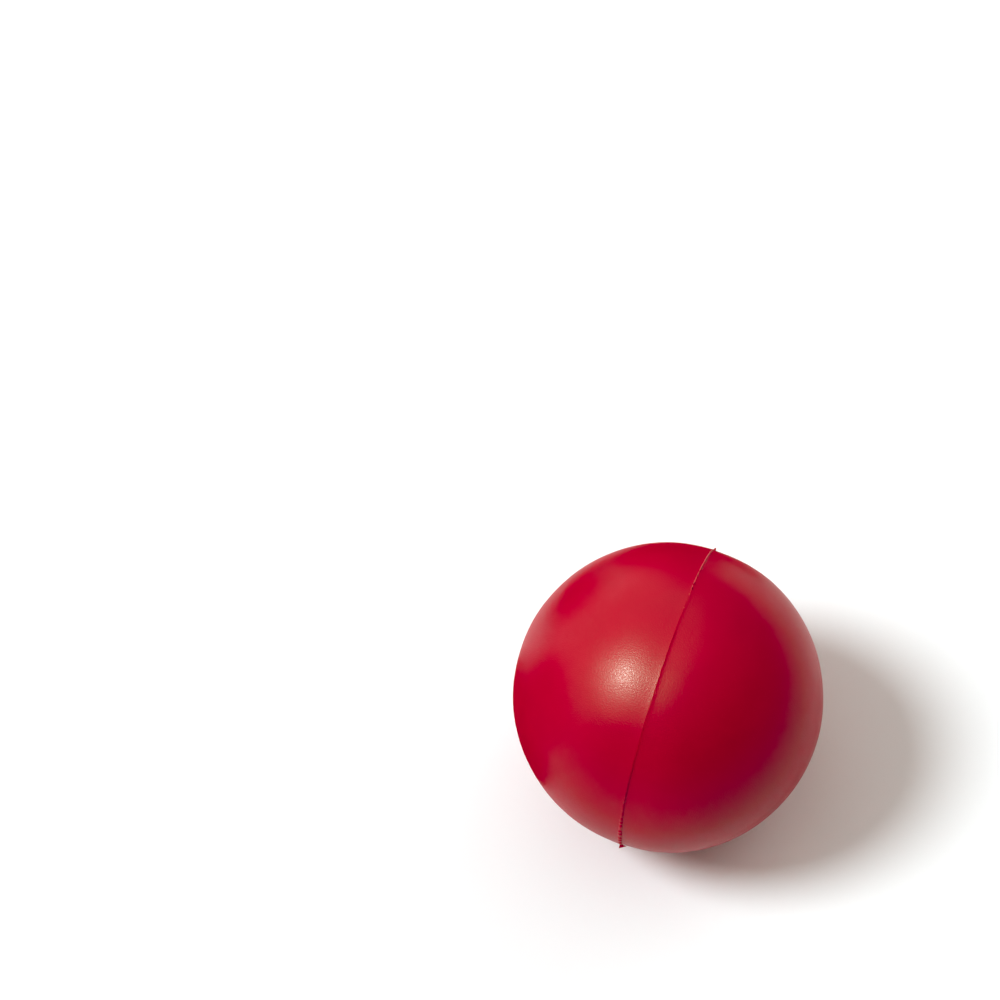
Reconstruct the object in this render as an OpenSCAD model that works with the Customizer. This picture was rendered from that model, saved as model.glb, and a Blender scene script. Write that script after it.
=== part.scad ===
// Moulded foam stress ball.
// Origin at the ball's centre, +Z up, parting plane at x = 0, mould axis along X.
// The skin halves slide in along X when the ball is squeezed; all the rest stays at the seam.

/* [Ball] */
// Diameter over the coloured skin
ball_d = 70; // [60:1:78]
// Thickness of the coloured skin and the dense foam bonded behind it
skin_t = 1; // [0.8:0.1:2]

/* [Seam] */
// Width of the flash that stands between the two skin rims
flash_w = 0.5; // [0.3:0.1:0.8]
// Height of the trimmed flash above the skin
flash_h = 0.3; // [0.2:0.05:0.5]

/* [Vent nib] */
// Angle of the nib round the seam, from +Y towards +Z
nib_angle = 25; // [0:5:80]
// Length of the nib along the seam
nib_len = 2.4; // [1.6:0.2:4]
// Height of the nib's point above the skin
nib_h = 0.6; // [0.55:0.05:1]

/* [Flash tab] */
// Angle of the tab round the seam, from +Y towards +Z
tab_angle = 201; // [180:1:250]
// Length of the tab along the seam
tab_len = 1.4; // [1:0.2:3]
// Reach of the tab over the right half's skin
tab_reach = 1.6; // [1:0.1:2.5]
// Height of the tab above the skin
tab_h = 0.8; // [0.6:0.05:1]

/* [Hidden] */
$fn = 96;
eps = 0.05;                  // air between the core's body and each skin half
ball_r = ball_d / 2;
core_r = ball_r - skin_t - eps;
flash_r = ball_r + flash_h;
rim_x = flash_w / 2 + eps;   // distance from the parting plane to each skin's rim
tab_lift = 0.05;             // air under the tab, at the seam
tab_tip_lift = 0.15;         // air under the tab's far tip
skin_red = "#b3001f";
flash_red = "#8f0019";
foam_pink = "#c9666a";

// Half of a hollow ball, on the +X side of its rim
module half_shell() {
    intersection() {
        difference() {
            sphere(r = ball_r);
            sphere(r = ball_r - skin_t);
        }
        translate([rim_x, -ball_d, -ball_d])
            cube([ball_d, 2 * ball_d, 2 * ball_d]);
    }
}

// Moves a shape drawn at the +Y end of the seam round to an angle on it
module at_seam(angle) {
    rotate([angle, 0, 0])
        children();
}

// Triangular point that replaces a short stretch of the flash, as thick as the flash
module nib_shape() {
    at_seam(nib_angle)
        rotate([0, -90, 0])
            linear_extrude(height = flash_w, center = true)
                polygon([
                    [-nib_len / 2, core_r + eps],
                    [nib_len / 2, core_r + eps],
                    [nib_len / 2, ball_r],
                    [0, ball_r + nib_h],
                    [-nib_len / 2, ball_r]
                ]);
}

// Wedge of flash that stands on the seam and leans over the right half
module tab_shape() {
    at_seam(tab_angle)
        linear_extrude(height = tab_len, center = true)
            polygon([
                [-flash_w / 2, flash_r],
                [flash_w / 2, flash_r],
                [flash_w / 2, ball_r + tab_lift],
                [tab_reach, ball_r + tab_tip_lift],
                [-flash_w / 2, ball_r + tab_h]
            ]);
}

module left_skin() {
    color(skin_red)
        mirror([1, 0, 0])
            half_shell();
}

module right_skin() {
    color(skin_red)
        half_shell();
}

module foam_core() {
    color(foam_pink)
        sphere(r = core_r);
}

module parting_flash() {
    color(flash_red)
        difference() {
            rotate([0, 90, 0])
                cylinder(r = flash_r, h = flash_w, center = true);
            rotate([0, 90, 0])
                cylinder(r = core_r + eps, h = 2 * flash_w, center = true);
            nib_shape();
            tab_shape();
        }
}

module vent_nib() {
    color(flash_red)
        nib_shape();
}

module flash_tab() {
    color(flash_red)
        tab_shape();
}

left_skin();
right_skin();
foam_core();
parting_flash();
vent_nib();
flash_tab();
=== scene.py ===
"""Looks of the moulded foam stress ball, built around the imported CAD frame.

Lengths inside the shape functions are in millimetres and are turned into metres when a mesh is made.
The ball's centre is the origin, the parting plane is x = 0, and an angle round the seam runs from +Y to +Z.
"""

import math

import bpy
import numpy as np
from mathutils import Matrix, Vector


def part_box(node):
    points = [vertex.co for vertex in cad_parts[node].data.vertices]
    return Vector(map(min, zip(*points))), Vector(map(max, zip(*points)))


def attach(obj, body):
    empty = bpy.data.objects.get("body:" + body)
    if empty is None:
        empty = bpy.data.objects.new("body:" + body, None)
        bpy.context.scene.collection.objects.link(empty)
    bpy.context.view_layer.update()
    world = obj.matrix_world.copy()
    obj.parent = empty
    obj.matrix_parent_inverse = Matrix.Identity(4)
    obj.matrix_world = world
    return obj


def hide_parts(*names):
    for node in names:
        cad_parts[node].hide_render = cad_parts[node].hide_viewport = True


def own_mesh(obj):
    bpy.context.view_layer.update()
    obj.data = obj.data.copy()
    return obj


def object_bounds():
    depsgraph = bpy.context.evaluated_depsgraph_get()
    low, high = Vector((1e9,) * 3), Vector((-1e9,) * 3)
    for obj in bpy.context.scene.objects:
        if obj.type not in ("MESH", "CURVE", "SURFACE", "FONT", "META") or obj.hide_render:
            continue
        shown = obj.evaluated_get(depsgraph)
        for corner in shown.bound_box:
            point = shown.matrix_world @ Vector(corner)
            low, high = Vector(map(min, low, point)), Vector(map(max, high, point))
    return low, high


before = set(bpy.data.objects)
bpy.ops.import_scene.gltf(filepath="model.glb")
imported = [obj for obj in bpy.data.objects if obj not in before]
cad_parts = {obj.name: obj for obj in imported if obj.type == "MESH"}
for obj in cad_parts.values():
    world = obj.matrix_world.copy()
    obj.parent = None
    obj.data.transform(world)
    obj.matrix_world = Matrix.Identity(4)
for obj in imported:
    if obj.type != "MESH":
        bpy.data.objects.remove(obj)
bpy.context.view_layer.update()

MM = 0.001
TAU = 2 * math.pi

# ---------------------------------------------------------------- sizes, worked out from the frame
LEFT_LOW, LEFT_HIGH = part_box("left_skin")
FLASH_LOW, FLASH_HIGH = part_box("parting_flash")
CORE_LOW, CORE_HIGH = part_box("foam_core")
BALL_R = (LEFT_HIGH.z - LEFT_LOW.z) / 2 / MM
CORE_R = (CORE_HIGH.z - CORE_LOW.z) / 2 / MM
FLASH_HALF_W = FLASH_HIGH.x / MM


def seam_angle(node):
    """Angle round the seam, in degrees, of a small CAD node's middle."""
    low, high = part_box(node)
    middle = (low + high) / 2
    return math.degrees(math.atan2(middle.z, middle.y)) % 360


NIB_ANGLE = seam_angle("vent_nib")
TAB_ANGLE = seam_angle("flash_tab")

# ---------------------------------------------------------------- relief, in mm over the round ball
WAIST_DEPTH = 0.23      # how far both halves sink near the seam
WAIST_WIDTH = 7
STEP_DEPTH = 0.325      # how far the right half sinks where it is a step below the left
STEP_WIDTH = 7.5
LEFT_LIP = 0.12         # rise of each rim at the seam
LEVEL_LIP = 0.10
STEP_LIP = 0.08
STEP_LIP_WIDTH = 0.45
LEVEL_AT = NIB_ANGLE + 6        # where round the seam the halves are level, and over how many degrees
LEVEL_SPAN = 26
TORN_AT = TAB_ANGLE - 17        # the roughly torn stretch of flash, just before the tab
TORN_SPAN = 19
RIDGE_FROM_NIB = 12             # middle of the raised torn crest, in degrees past the nib; a painted highlight lies on its left side
SPECKS_FROM_NIB = (24, 31, 36, 41, 43.5)
FAR_NUBS_AT = (262, 318, 351)   # small nubs on the far side of the seam


# ---------------------------------------------------------------- numbers that vary smoothly
def waves(points, wavelength, seed, count=48):
    """A smooth random field of about unit size at points, made of plane waves of about one wavelength."""
    rng = np.random.default_rng(seed)
    ways = rng.normal(size=(count, 3))
    ways /= np.linalg.norm(ways, axis=1)[:, None]
    numbers = TAU / wavelength * rng.uniform(0.7, 1.4, count)
    phases = rng.uniform(0, TAU, count)
    field = np.zeros(points.shape[:-1])
    for way, number, phase in zip(ways, numbers, phases):
        field += np.cos(points @ way * number + phase)
    return field * math.sqrt(2 / count)


def hump(distance, width):
    """1 at distance 0, falling smoothly to nothing a few widths away."""
    return np.exp(-(distance / width) ** 2)


def degrees_from(angles, centre):
    """How far each angle is from centre, in degrees, the short way round."""
    return (np.asarray(angles) - centre + 180) % 360 - 180


# ---------------------------------------------------------------- the ball's shape
def along_seam(angles):
    """Points on the seam's circle, for fields that only vary round the seam."""
    turn = np.radians(angles)
    return np.stack([np.zeros_like(turn), BALL_R * np.cos(turn), BALL_R * np.sin(turn)], axis=-1)


def lumps(points):
    """Height of the slow dents and swellings of a foam moulding."""
    dents = 0.07 * waves(points, 52, seed=3)
    swellings = 0.022 * waves(points, 17, seed=5)
    return dents + swellings + 0.004 * waves(points, 5, seed=8)


def left_profile(s, angles):
    """Height of the left half's skin, s from the parting plane: a shallow waist with a lip at the seam."""
    vary = 1 + 0.2 * waves(along_seam(angles), 30, seed=11)
    return -WAIST_DEPTH * vary * hump(s, WAIST_WIDTH) + LEFT_LIP * np.exp(-s)


def right_profile(s, angles):
    """Height of the right half's skin: a step down from the seam, but level with it near the nib."""
    vary = 1 + 0.2 * waves(along_seam(angles), 26, seed=12)
    step = -STEP_DEPTH * vary * hump(s, STEP_WIDTH)
    step = step + STEP_LIP * np.exp(-(s - FLASH_HALF_W) / STEP_LIP_WIDTH)
    level = -WAIST_DEPTH * vary * hump(s, WAIST_WIDTH) + LEVEL_LIP * np.exp(-s)
    share = hump(degrees_from(angles, LEVEL_AT), LEVEL_SPAN)
    return step + share * (level - step)


def ball_points(side, s, angles):
    """Unit directions of the skin's points on one side (-1 left, 1 right), s counted from the seam."""
    tilt = s / BALL_R
    turn = np.radians(angles)
    return np.stack([side * np.sin(tilt), np.cos(tilt) * np.cos(turn), np.cos(tilt) * np.sin(turn)], axis=-1)


def skin_radius(side, s, angles):
    """Distance of the skin's outer surface from the ball's centre."""
    profile = left_profile if side < 0 else right_profile
    return BALL_R + lumps(ball_points(side, s, angles) * BALL_R) + profile(s, angles)


# ---------------------------------------------------------------- mesh helpers
def make_mesh(name, points, faces, sharp_angle=40):
    """A new smooth-shaded object from points in millimetres."""
    mesh = bpy.data.meshes.new(name)
    mesh.from_pydata((np.asarray(points) * MM).tolist(), [], faces)
    mesh.validate()
    mesh.update()
    mesh.polygons.foreach_set("use_smooth", np.ones(len(mesh.polygons), bool))
    mesh.set_sharp_from_angle(angle=math.radians(sharp_angle))
    obj = bpy.data.objects.new(name, mesh)
    bpy.context.scene.collection.objects.link(obj)
    return obj


def ring_faces(rows, columns, first=0, flip=False, close_rows=False):
    """Quads between rings of points that each go once round."""
    faces = []
    for row in range(rows if close_rows else rows - 1):
        here = first + row * columns
        there = first + (row + 1) % rows * columns
        for column in range(columns):
            after = (column + 1) % columns
            quad = (there + column, there + after, here + after, here + column)
            faces.append(quad[::-1] if flip else quad)
    return faces


def fan_faces(ring, columns, tip, flip=False):
    """Triangles from one ring of points to a tip."""
    faces = []
    for column in range(columns):
        triangle = (tip, ring + (column + 1) % columns, ring + column)
        faces.append(triangle[::-1] if flip else triangle)
    return faces


def sphere_ways(rows, columns):
    """Unit directions in rows from the upper pole to the lower one, without the poles."""
    polar = np.linspace(0, math.pi, rows + 2)[1:-1]
    turn = np.arange(columns) * TAU / columns
    p, t = np.meshgrid(polar, turn, indexing="ij")
    return np.stack([np.sin(p) * np.cos(t), np.sin(p) * np.sin(t), np.cos(p)], axis=-1)


def sphere_faces(rows, columns):
    """Faces of a closed ball whose two poles come after its rows of points."""
    faces = ring_faces(rows, columns)
    faces += fan_faces(0, columns, rows * columns, flip=True)
    faces += fan_faces((rows - 1) * columns, columns, rows * columns + 1)
    return faces


# ---------------------------------------------------------------- pieces
SKIN_COLUMNS = 640
SKIN_STEP = 0.45        # row spacing far from the seam
SEAM_STEP = 0.09        # row spacing at the seam
INNER_ROWS = 8
FLASH_COLUMNS = 2400


def skin_rows():
    """Distances of the skin's rows from the seam, close together near it, ending just short of the pole."""
    rows = [FLASH_HALF_W]
    step = SEAM_STEP
    pole = BALL_R * math.pi / 2
    while rows[-1] + step < pole - 0.2:
        rows.append(rows[-1] + step)
        step = min(step * 1.09, SKIN_STEP)
    return np.array(rows)


def make_skin(name, side):
    """Half of the skin as a closed shell: full relief outside, plain inside, flat rim at the seam."""
    s = skin_rows()
    angles = np.arange(SKIN_COLUMNS) * 360 / SKIN_COLUMNS
    grid_s, grid_a = np.meshgrid(s, angles, indexing="ij")
    outer = ball_points(side, grid_s, grid_a) * skin_radius(side, grid_s, grid_a)[..., None]
    outer_tip = [[side * float(np.mean(np.linalg.norm(outer[-1], axis=1))), 0, 0]]
    inner_s = np.linspace(FLASH_HALF_W, BALL_R * math.pi / 2 - 1, INNER_ROWS)
    grid_s, grid_a = np.meshgrid(inner_s, angles, indexing="ij")
    inner = ball_points(side, grid_s, grid_a) * (CORE_R + 0.05)
    inner_tip = [[side * (CORE_R + 0.05), 0, 0]]
    points = np.concatenate([outer.reshape(-1, 3), outer_tip, inner.reshape(-1, 3), inner_tip])
    rows = len(s)
    tip = rows * SKIN_COLUMNS
    inside = tip + 1
    inner_last = inside + (INNER_ROWS - 1) * SKIN_COLUMNS
    flip = side < 0
    faces = ring_faces(rows, SKIN_COLUMNS, 0, flip)
    faces += fan_faces(tip - SKIN_COLUMNS, SKIN_COLUMNS, tip, flip)
    faces += ring_faces(INNER_ROWS, SKIN_COLUMNS, inside, not flip)
    faces += fan_faces(inner_last, SKIN_COLUMNS, inside + INNER_ROWS * SKIN_COLUMNS, not flip)
    for column in range(SKIN_COLUMNS):
        after = (column + 1) % SKIN_COLUMNS
        quad = (inside + column, inside + after, after, column)
        faces.append(quad[::-1] if flip else quad)
    return make_mesh(name, points, faces)


def torn_zone(angles):
    """1 where the flash was torn off roughly, falling to 0 elsewhere on the seam."""
    return hump(degrees_from(angles, TORN_AT), TORN_SPAN)


def scallops(angles):
    """Torn lumps along the flash, 2 mm apart, from 0 to 1."""
    drift = 0.6 * waves(along_seam(angles), 5, seed=27)
    return np.sin(np.radians(angles) * BALL_R * math.pi / 2 + drift) ** 2


def ridge_height(angles):
    """Height of the trimmed flash above the left half's rim, round the seam."""
    ring = along_seam(angles)
    plain = 0.025 + 0.012 * waves(ring, 9, seed=21) + 0.010 * waves(ring, 1.6, seed=22)
    from_nib = degrees_from(angles, NIB_ANGLE)
    nib_ridge = 0.075 * hump(from_nib - RIDGE_FROM_NIB, 23) * (1 + 0.5 * waves(ring, 1.0, seed=23))
    torn = torn_zone(angles) * (0.04 + 0.18 * scallops(angles))
    specks = sum(0.32 * hump(from_nib - at, 0.6) for at in SPECKS_FROM_NIB)
    far_nubs = sum(0.30 * hump(degrees_from(angles, at), 0.6) for at in FAR_NUBS_AT)
    return np.maximum(plain, 0.005) + nib_ridge + torn + specks + far_nubs


def make_flash():
    """The trimmed ridge between the skins: up to a low crest by the left rim, then down to the right rim."""
    angles = np.arange(FLASH_COLUMNS) * 360 / FLASH_COLUMNS
    ring = along_seam(angles)
    rim = np.full(FLASH_COLUMNS, FLASH_HALF_W)
    inside = np.full(FLASH_COLUMNS, CORE_R)
    left = skin_radius(-1, rim, angles)
    right = skin_radius(1, rim, angles)
    crest = left + ridge_height(angles)
    wander = 0.035 * waves(ring, 3, seed=25)
    lean = torn_zone(angles) * (0.24 + 0.36 * scallops(angles))
    w = FLASH_HALF_W
    slim = w * (1 - 0.55 * hump(degrees_from(angles, NIB_ANGLE + RIDGE_FROM_NIB), 24))
    section = [
        (-w, inside),
        (-w, left - 0.06),
        (-w, left),
        (-0.70 * slim + wander, left + 0.35 * (crest - left)),
        (-0.48 * slim + wander, left + 0.85 * (crest - left)),
        (-0.28 * slim + wander + 0.4 * lean, crest),
        (-0.06 * slim + wander + 0.8 * lean, crest - 0.14 * (crest - right)),
        (0.22 * slim + wander + lean, crest - 0.42 * (crest - right)),
        (0.60 * slim + wander * 0.5 + lean, crest - 0.74 * (crest - right)),
        (w, right),
        (w, right - 0.06),
        (w, inside),
    ]
    turn = np.radians(angles)
    rings = []
    for x, radius in section:
        height = np.sqrt(np.maximum(radius ** 2 - np.asarray(x) ** 2, 0))
        x = np.broadcast_to(x, turn.shape)
        rings.append(np.stack([x, height * np.cos(turn), height * np.sin(turn)], axis=-1))
    points = np.concatenate(rings)
    faces = ring_faces(len(section), FLASH_COLUMNS, flip=True, close_rows=True)
    return make_mesh("parting_flash_ridge", points, faces, 60)


def make_nib():
    """Pointed end of the flash at the vent: a small three-sided spike that leans along the seam."""
    base = float(skin_radius(-1, np.array([FLASH_HALF_W]), np.array([NIB_ANGLE]))[0])
    levels = [(-0.20, 0.95), (0.04, 0.72), (0.16, 0.48), (0.28, 0.30), (0.38, 0.17), (0.45, 0.07)]
    sides = 20
    turn = np.arange(sides) * TAU / sides
    points = []
    for height, half in levels:
        width = np.minimum(half, FLASH_HALF_W * 0.95)
        lean = -0.35 * max(height, 0)
        wobble = 1 + 0.10 * np.sin(3 * turn + 9 * height)
        points.append(np.stack([
            width * np.cos(turn) * wobble,
            np.full(sides, base + height),
            half * np.sin(turn) * wobble + lean,
        ], axis=-1))
    points = np.concatenate(points + [np.array([[0, base + 0.48, -0.18], [0, base - 0.2, 0]])])
    faces = ring_faces(len(levels), sides)
    faces += fan_faces((len(levels) - 1) * sides, sides, len(points) - 2)
    faces += fan_faces(0, sides, len(points) - 1, flip=True)
    obj = make_mesh("vent_nib_point", points, faces, 50)
    obj.data.transform(Matrix.Rotation(math.radians(NIB_ANGLE), 4, "X"))
    return obj


def make_tab():
    """Torn tag of flash: a thin crumpled triangle that stands on the seam and leans over the right half."""
    rows, columns = 14, 12
    across = np.linspace(0, 1, rows)
    along = np.linspace(-0.5, 0.5, columns)
    base = float(skin_radius(1, np.array([FLASH_HALF_W]), np.array([TAB_ANGLE]))[0])
    sheets = []
    for lift in (0.0, 1.0):
        u, v = np.meshgrid(across, along, indexing="ij")
        reach = 1.55 * (1 - 0.30 * np.abs(v) * 2)
        x = -0.15 + u * reach
        torn = 0.04 * np.sin(v * 19) + 0.03 * np.sin(v * 41 + 1)
        top = 0.84 * (1 - u) ** 1.1 * (1 - 0.5 * (2 * v) ** 2) + 0.16 + torn * (1 - u)
        bottom = 0.02 + 0.08 * u
        height = np.where(lift > 0, np.maximum(top, bottom + 0.07), bottom) + 0.03 * np.sin(7 * v + 5 * u)
        sheets.append(np.stack([x, base + height, 1.3 * v * (1 - 0.45 * u)], axis=-1))
    points = np.concatenate([sheet.reshape(-1, 3) for sheet in sheets])
    count = rows * columns
    faces = []
    for r in range(rows - 1):
        for c in range(columns - 1):
            a = r * columns + c
            faces.append((a, a + 1, a + columns + 1, a + columns))
            faces.append((count + a + columns, count + a + columns + 1, count + a + 1, count + a))
    edge = [(r, 0) for r in range(rows)]
    edge += [(rows - 1, c) for c in range(1, columns)]
    edge += [(r, columns - 1) for r in range(rows - 2, -1, -1)]
    edge += [(0, c) for c in range(columns - 2, 0, -1)]
    loop = [r * columns + c for r, c in edge]
    for here, after in zip(loop, loop[1:] + loop[:1]):
        faces.append((here, count + here, count + after, after))
    obj = make_mesh("flash_tab_tag", points, faces, 50)
    obj.data.transform(Matrix.Rotation(math.radians(TAB_ANGLE), 4, "X"))
    return obj


def make_core():
    """The foam itself: a ball whose surface is full of small open cells."""
    rows, columns = 150, 300
    ways = sphere_ways(rows, columns)
    cells = np.abs(waves(ways * CORE_R, 2.6, seed=31)) + 0.6 * np.abs(waves(ways * CORE_R, 1.5, seed=32))
    radius = CORE_R - 0.06 - 0.22 * np.clip(1.0 - cells, 0, 1)
    poles = [[0, 0, CORE_R - 0.1], [0, 0, 0.1 - CORE_R]]
    points = np.concatenate([(ways * radius[..., None]).reshape(-1, 3), poles])
    return make_mesh("foam_core_cells", points, sphere_faces(rows, columns), 80)


# ---------------------------------------------------------------- materials
class Nodes:
    """A material's node tree, with short ways to add and join nodes."""

    def __init__(self, name):
        self.material = bpy.data.materials.new(name)
        self.material.use_nodes = True
        self.tree = self.material.node_tree
        self.shader = self.tree.nodes["Principled BSDF"]
        self.place = self.add("ShaderNodeTexCoord").outputs["Object"]

    def add(self, kind, **values):
        node = self.tree.nodes.new(kind)
        for key, value in values.items():
            setattr(node, key, value)
        return node

    def join(self, source, target):
        self.tree.links.new(source, target)

    def noise(self, size_mm, detail=2.0, roughness=0.5, seed_shift=0.0):
        """Noise from 0 to 1, with features of about size_mm."""
        shift = self.add("ShaderNodeVectorMath", operation="ADD")
        shift.inputs[1].default_value = (seed_shift, seed_shift * 0.7, -seed_shift)
        self.join(self.place, shift.inputs[0])
        node = self.add("ShaderNodeTexNoise")
        node.inputs["Scale"].default_value = 1 / (size_mm * MM)
        node.inputs["Detail"].default_value = detail
        node.inputs["Roughness"].default_value = roughness
        self.join(shift.outputs[0], node.inputs["Vector"])
        return node.outputs["Fac"]

    def distance(self, point):
        """Distance from a point of the object, in metres."""
        node = self.add("ShaderNodeVectorMath", operation="DISTANCE")
        node.inputs[1].default_value = point
        self.join(self.place, node.inputs[0])
        return node.outputs["Value"]

    def sideways(self):
        """How far right of the parting plane, in metres."""
        node = self.add("ShaderNodeSeparateXYZ")
        self.join(self.place, node.inputs[0])
        return node.outputs["X"]

    def cells(self, size_mm):
        """Distance from the nearest of many scattered points, size_mm apart."""
        node = self.add("ShaderNodeTexVoronoi", feature="F1")
        node.inputs["Scale"].default_value = 1 / (size_mm * MM)
        self.join(self.place, node.inputs["Vector"])
        return node.outputs["Distance"]

    def spread(self, value, low, high, to_low, to_high):
        """value, moved from the range low..high to to_low..to_high, smoothly and clamped."""
        node = self.add("ShaderNodeMapRange", interpolation_type="SMOOTHSTEP")
        for socket, number in zip(("From Min", "From Max", "To Min", "To Max"), (low, high, to_low, to_high)):
            node.inputs[socket].default_value = number
        self.join(value, node.inputs["Value"])
        return node.outputs["Result"]

    def sum(self, *values):
        total = values[0]
        for value in values[1:]:
            node = self.add("ShaderNodeMath", operation="ADD")
            self.join(total, node.inputs[0])
            self.join(value, node.inputs[1])
            total = node.outputs[0]
        return total

    def scaled(self, value, factor):
        """value times a number or another value."""
        node = self.add("ShaderNodeMath", operation="MULTIPLY")
        if isinstance(factor, float):
            node.inputs[1].default_value = factor
        else:
            self.join(factor, node.inputs[1])
        self.join(value, node.inputs[0])
        return node.outputs[0]

    def blend(self, factor, first, second):
        """A colour from first to second."""
        node = self.add("ShaderNodeMix", data_type="RGBA")
        for socket, colour in (("A", first), ("B", second)):
            target = next(i for i in node.inputs if i.name == socket and i.type == "RGBA")
            if isinstance(colour, tuple):
                target.default_value = (*colour, 1)
            else:
                self.join(colour, target)
        self.join(factor, node.inputs["Factor"])
        return next(o for o in node.outputs if o.type == "RGBA")

    def bump(self, height, depth_mm):
        """Height from 0 to 1 becomes relief of depth_mm."""
        node = self.add("ShaderNodeBump")
        node.inputs["Strength"].default_value = 1.0
        node.inputs["Distance"].default_value = depth_mm * MM
        self.join(height, node.inputs["Height"])
        self.join(node.outputs["Normal"], self.shader.inputs["Normal"])
        self.join(node.outputs["Normal"], self.shader.inputs["Coat Normal"])


SPECULAR_TINT = (0.65, 0.98, 0.70, 1)


def skin_material():
    """In-mould coating of the skin: satin red with a fine grain, under a trace of clear lacquer."""
    n = Nodes("satin_red_skin")
    slow = n.noise(14, detail=2)
    fine = n.noise(1.1, detail=3, roughness=0.6, seed_shift=0.31)
    tone = n.blend(n.spread(slow, 0.3, 0.7, 0, 1), (0.348, 0.0, 0.0215), (0.370, 0.0, 0.0240))
    tone = n.blend(n.spread(fine, 0.62, 0.85, 0, 0.35), tone, (0.31, 0.0, 0.018))
    n.join(tone, n.shader.inputs["Base Color"])
    grain = n.noise(0.28, detail=1, roughness=0.4, seed_shift=0.11)
    rough = n.sum(n.spread(slow, 0.3, 0.7, 0.386, 0.406), n.spread(grain, 0.3, 0.7, -0.02, 0.03))
    n.join(rough, n.shader.inputs["Roughness"])
    peel = n.noise(0.95, detail=1.5, seed_shift=0.57)
    n.bump(n.sum(n.scaled(grain, 0.9), n.scaled(peel, 0.06)), 0.038)
    n.shader.inputs["Specular IOR Level"].default_value = 0.30
    n.shader.inputs["Specular Tint"].default_value = SPECULAR_TINT
    n.shader.inputs["Coat Weight"].default_value = 0.045
    n.shader.inputs["Coat Roughness"].default_value = 0.17
    return n.material


def flash_material():
    """Trimmed edge of the coating: darker and rougher than the skin, with painted light on it: lighter red
    near the tab, and a painted highlight on the left side of the torn crest below the nib.
    """
    n = Nodes("trimmed_red_flash")
    worn = n.noise(0.7, detail=3, roughness=0.6)
    tone = n.blend(n.spread(worn, 0.35, 0.7, 0, 1), (0.37, 0.0, 0.020), (0.31, 0.0, 0.016))
    # Lighter red near the tab is painted light: it lifts the shade where the torn strip faces away from the
    # light.
    tab = math.radians(TAB_ANGLE)
    from_tab = n.distance((0, BALL_R * MM * math.cos(tab), BALL_R * MM * math.sin(tab)))
    tone = n.blend(n.spread(from_tab, 0.014, 0.030, 1, 0), tone, (0.42, 0.0, 0.024))
    # Painted highlight: pale pink on the left side of the ridge, the side towards the key, along the seam
    # past the nib; the beads break it into dots.
    turn = math.radians(NIB_ANGLE + 16)
    away = n.distance((0, BALL_R * MM * math.cos(turn), BALL_R * MM * math.sin(turn)))
    beads = n.noise(0.45, detail=1, seed_shift=0.41)
    ragged = n.sum(away, n.scaled(n.noise(1.1, detail=2, seed_shift=0.23), 0.018), n.scaled(beads, 0.028))
    crest = n.spread(n.sideways(), -0.00002, 0.00004, 1, 0)
    painted_crest_highlight = n.scaled(n.spread(ragged, 0.030, 0.042, 0.85, 0), crest)
    tone = n.blend(painted_crest_highlight, tone, (0.52, 0.10, 0.11))
    n.join(tone, n.shader.inputs["Base Color"])
    n.join(n.spread(worn, 0.3, 0.7, 0.36, 0.46), n.shader.inputs["Roughness"])
    n.bump(n.noise(0.25, detail=2), 0.03)
    n.shader.inputs["Specular IOR Level"].default_value = 0.28
    n.shader.inputs["Specular Tint"].default_value = SPECULAR_TINT
    return n.material


def foam_material():
    """Cellular polyurethane, tinted right through, with painted shade darkening the hollow of each cell."""
    n = Nodes("cut_foam")
    cell = n.cells(1.3)
    # Darker at the middle of each cell, where the bump sinks: painted shade in the open cells.
    tone = n.blend(n.spread(cell, 0.0, 0.6, 0, 1), (0.42, 0.06, 0.07), (0.62, 0.16, 0.16))
    n.join(tone, n.shader.inputs["Base Color"])
    n.join(n.spread(n.noise(0.6), 0.3, 0.7, 0.8, 0.95), n.shader.inputs["Roughness"])
    n.bump(n.sum(cell, n.scaled(n.noise(0.35), 0.4)), 0.25)
    n.shader.inputs["Specular IOR Level"].default_value = 0.3
    return n.material


# ---------------------------------------------------------------- building the object
def finish_piece(obj, material, body, node):
    """Gives a piece its material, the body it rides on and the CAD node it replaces."""
    obj.data.materials.append(material)
    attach(obj, body)
    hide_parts(node)


def build_ball():
    skin = skin_material()
    flash = flash_material()
    for side, word in ((-1, "left"), (1, "right")):
        shell = make_skin(word + "_skin_shell", side)
        finish_piece(shell, skin, word + "_half", word + "_skin")
        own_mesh(shell)
    for obj, node in ((make_flash(), "parting_flash"), (make_nib(), "vent_nib"), (make_tab(), "flash_tab")):
        finish_piece(obj, flash, "core", node)
        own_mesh(obj)
    core = make_core()
    finish_piece(core, foam_material(), "core", "foam_core")
    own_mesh(core)


# ---------------------------------------------------------------- table, light and camera
WARM = (1.0, 0.96, 0.90)        # colour of the fill light


def direction(azimuth, elevation):
    """Unit vector at an azimuth from +Y towards +X and an elevation, in degrees."""
    around, above = math.radians(azimuth), math.radians(elevation)
    return Vector((math.sin(around) * math.cos(above), math.cos(around) * math.cos(above), math.sin(above)))


def make_floor(height):
    """A plain white table, wide enough to run past every view and all of it well lit."""
    half = 2.0
    mesh = bpy.data.meshes.new("table")
    corners = [(-half, -half, height), (half, -half, height), (half, half, height), (-half, half, height)]
    mesh.from_pydata(corners, [], [(0, 1, 2, 3)])
    table = bpy.data.objects.new("table", mesh)
    bpy.context.scene.collection.objects.link(table)
    n = Nodes("white_table")
    n.shader.inputs["Base Color"].default_value = (0.86, 0.86, 0.86, 1)
    n.shader.inputs["Roughness"].default_value = 0.9
    n.shader.inputs["Specular IOR Level"].default_value = 0.1
    table.data.materials.append(n.material)


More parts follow.
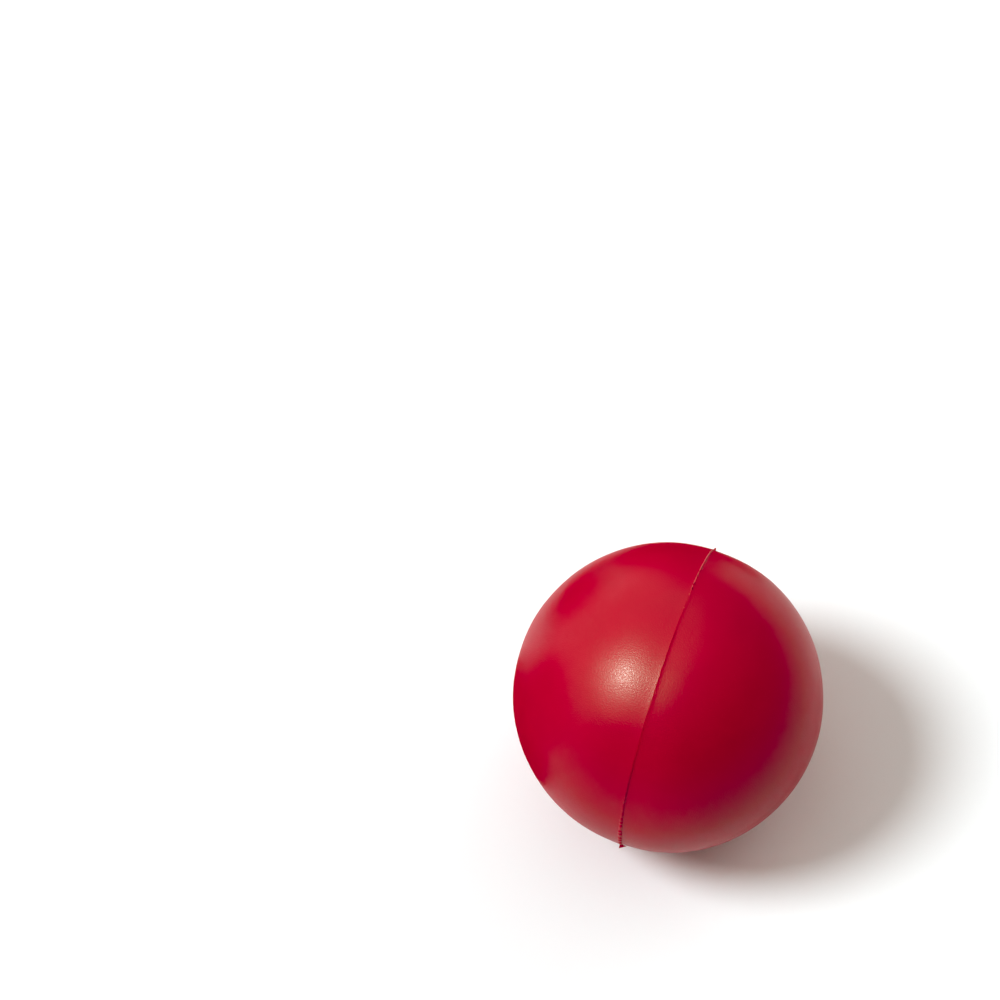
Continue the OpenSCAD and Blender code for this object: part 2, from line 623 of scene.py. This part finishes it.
def aim(obj, way, distance=0.0):
    """Puts a light or card at a distance along a direction, facing back at the ball."""
    obj.rotation_mode = "QUATERNION"
    obj.rotation_quaternion = way.to_track_quat("Z", "Y")
    obj.location = way * distance
    bpy.context.scene.collection.objects.link(obj)


def make_sun(name, way, watts, angle):
    """A sun of an angular diameter in degrees."""
    lamp = bpy.data.lights.new(name, "SUN")
    lamp.energy = watts
    lamp.angle = math.radians(angle)
    obj = bpy.data.objects.new(name, lamp)
    aim(obj, way)
    return obj


def make_scrim(name, way, radiance, spread, distance=2.5, in_gloss=False):
    """A round warm scrim that fills a cone of half-angle spread, in degrees, and is never in the picture.

    It lights either the surfaces (in_gloss False) or only what shows in their gloss.
    """
    radius = distance * math.tan(math.radians(spread))
    lamp = bpy.data.lights.new(name, "AREA")
    lamp.shape = "DISK"
    lamp.size = 2 * radius
    lamp.energy = radiance * math.pi * math.pi * radius ** 2
    lamp.color = WARM
    obj = bpy.data.objects.new(name, lamp)
    aim(obj, way, distance)
    obj.visible_camera = False
    obj.visible_glossy = in_gloss
    obj.visible_diffuse = not in_gloss


def only_in_gloss(obj):
    """Keeps an object out of the picture and out of the light, so that it only shows in gloss."""
    obj.visible_camera = False
    obj.visible_diffuse = False
    obj.visible_shadow = False


def make_flag(name, x, y, material):
    """A dark red ball shape standing beside the ball: it only shows in the ball's gloss."""
    columns, rows = 48, 23
    points = np.concatenate([sphere_ways(rows, columns).reshape(-1, 3), [[0, 0, 1], [0, 0, -1]]])
    flag = make_mesh(name, points * BALL_R + (x, y, 0), sphere_faces(rows, columns), 80)
    flag.data.materials.append(material)
    only_in_gloss(flag)


def make_shade_card(name, x, y, floor, material):
    """A dark patch on the table, a painted shadow of a flag, that only shows in the ball's gloss."""
    sides, long_half, short_half, bearing = 48, 42, 33, math.radians(28.5)
    turn = np.arange(sides) * TAU / sides
    along, across = long_half * np.cos(turn), short_half * np.sin(turn)
    east = x + along * math.cos(bearing) - across * math.sin(bearing)
    north = y + along * math.sin(bearing) + across * math.cos(bearing)
    points = np.stack([east, north, np.full(sides, floor / MM + 0.3)], axis=-1)
    card = make_mesh(name, points, [tuple(range(sides))])
    card.data.materials.append(material)
    only_in_gloss(card)


def flag_and_painted_shadow_material():
    """Plain dark red of the flags, and of the shade cards, where it is a painted shadow."""
    n = Nodes("flag_red_and_painted_shadow")
    n.shader.inputs["Base Color"].default_value = (0.30, 0.01, 0.01, 1)
    n.shader.inputs["Roughness"].default_value = 0.9
    n.shader.inputs["Specular IOR Level"].default_value = 0.0
    return n.material


def make_surround(fill):
    """Even light from everywhere, white behind the table, and nothing to see in the gloss of the skin."""
    world = bpy.data.worlds.new("surround")
    bpy.context.scene.world = world
    world.use_nodes = True
    world.cycles_visibility.glossy = False
    world.cycles.sampling_method = "NONE"
    tree = world.node_tree
    seen = tree.nodes.new("ShaderNodeLightPath").outputs["Is Camera Ray"]
    strength = tree.nodes.new("ShaderNodeMapRange")
    strength.inputs["To Min"].default_value = fill
    strength.inputs["To Max"].default_value = 1.0
    tree.links.new(seen, strength.inputs["Value"])
    tree.nodes["Background"].inputs["Color"].default_value = (1, 1, 1, 1)
    tree.links.new(strength.outputs["Result"], tree.nodes["Background"].inputs["Strength"])


KEY_WAY = direction(-112.5, 53)
GLINT_WAY = direction(-119, 57.2)
FLAGS = {"left_flag": (-88, -33), "back_flag": (-32, 90), "corner_flag": (-113, 68)}   # places in mm
SHADE_OFFSET = (20, 11)


def make_lights(floor):
    """A soft key from the upper left, seen smaller in the gloss, and warm scrims on the other sides."""
    key = make_sun("key", KEY_WAY, 2.64, 20)
    key.visible_glossy = False
    glint = make_sun("key_glint", GLINT_WAY, 4.15, 5)
    glint.visible_diffuse = False
    make_scrim("left_scrim", direction(-120, 20), 0.72, 28)
    make_scrim("corner_scrim", direction(-42, 22), 0.58, 28)
    make_scrim("back_scrim", direction(12, 22), 1.42, 28)
    make_scrim("right_scrim", direction(50, 36), 0.52, 28)
    make_scrim("top_scrim", direction(0, 89.9), 0.90, 30)
    make_scrim("sheen_scrim", direction(-76, 42), 2.1, 57, distance=2.1, in_gloss=True)
    dark_red = flag_and_painted_shadow_material()
    for name, (x, y) in FLAGS.items():
        make_flag(name, x, y, dark_red)
        # Each shade card is a painted shadow of its flag, seen only in the gloss.
        make_shade_card(name + "_shade", x + SHADE_OFFSET[0], y + SHADE_OFFSET[1], floor, dark_red)
    make_surround(0.03)


def make_camera():
    """A long lens high over the table, with the ball low and right of the middle of the view."""
    azimuth, elevation = math.radians(19.4), math.radians(63.8)
    distance, ball_right, ball_down = 0.885, 0.0380, 0.0445
    right = Vector((math.cos(azimuth), math.sin(azimuth), 0))
    back = Vector((
        math.sin(azimuth) * math.cos(elevation),
        -math.cos(azimuth) * math.cos(elevation),
        math.sin(elevation),
    ))
    up = back.cross(right)
    lens = bpy.data.cameras.new("view")
    lens.sensor_width = 36
    lens.lens = 141.1
    lens.clip_start = 0.05
    camera = bpy.data.objects.new("view", lens)
    camera.matrix_world = Matrix((
        (right.x, up.x, back.x, 0),
        (right.y, up.y, back.y, 0),
        (right.z, up.z, back.z, 0),
        (0, 0, 0, 1),
    ))
    camera.location = back * distance - right * ball_right + up * ball_down
    bpy.context.scene.collection.objects.link(camera)
    bpy.context.scene.camera = camera


def set_tone():
    """Tone curves of a print whose deepest reds keep no green and whose shadows lean warm."""
    red = [(0, 0), (0.03, 0.012), (0.94, 1)]
    green = [(0, 0), (0.032, 0), (0.3, 0.28), (0.905, 1)]
    blue = [(0, 0), (0.026, 0.016), (0.07, 0.040), (0.13, 0.098), (0.3, 0.272), (0.89, 1)]
    view = bpy.context.scene.view_settings
    view.view_transform = "Standard"
    view.use_curve_mapping = True
    mapping = view.curve_mapping
    mapping.extend = "EXTRAPOLATED"
    for curve, points in zip(mapping.curves, (red, green, blue)):
        while len(curve.points) < len(points):
            curve.points.new(0.5, 0.5)
        for point, (x, y) in zip(curve.points, points):
            point.location = (x, y)
            point.handle_type = "VECTOR"
    mapping.update()


build_ball()
bpy.context.view_layer.update()
visual_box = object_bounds()
make_floor(visual_box[0].z)
make_lights(visual_box[0].z)
make_camera()
set_tone()
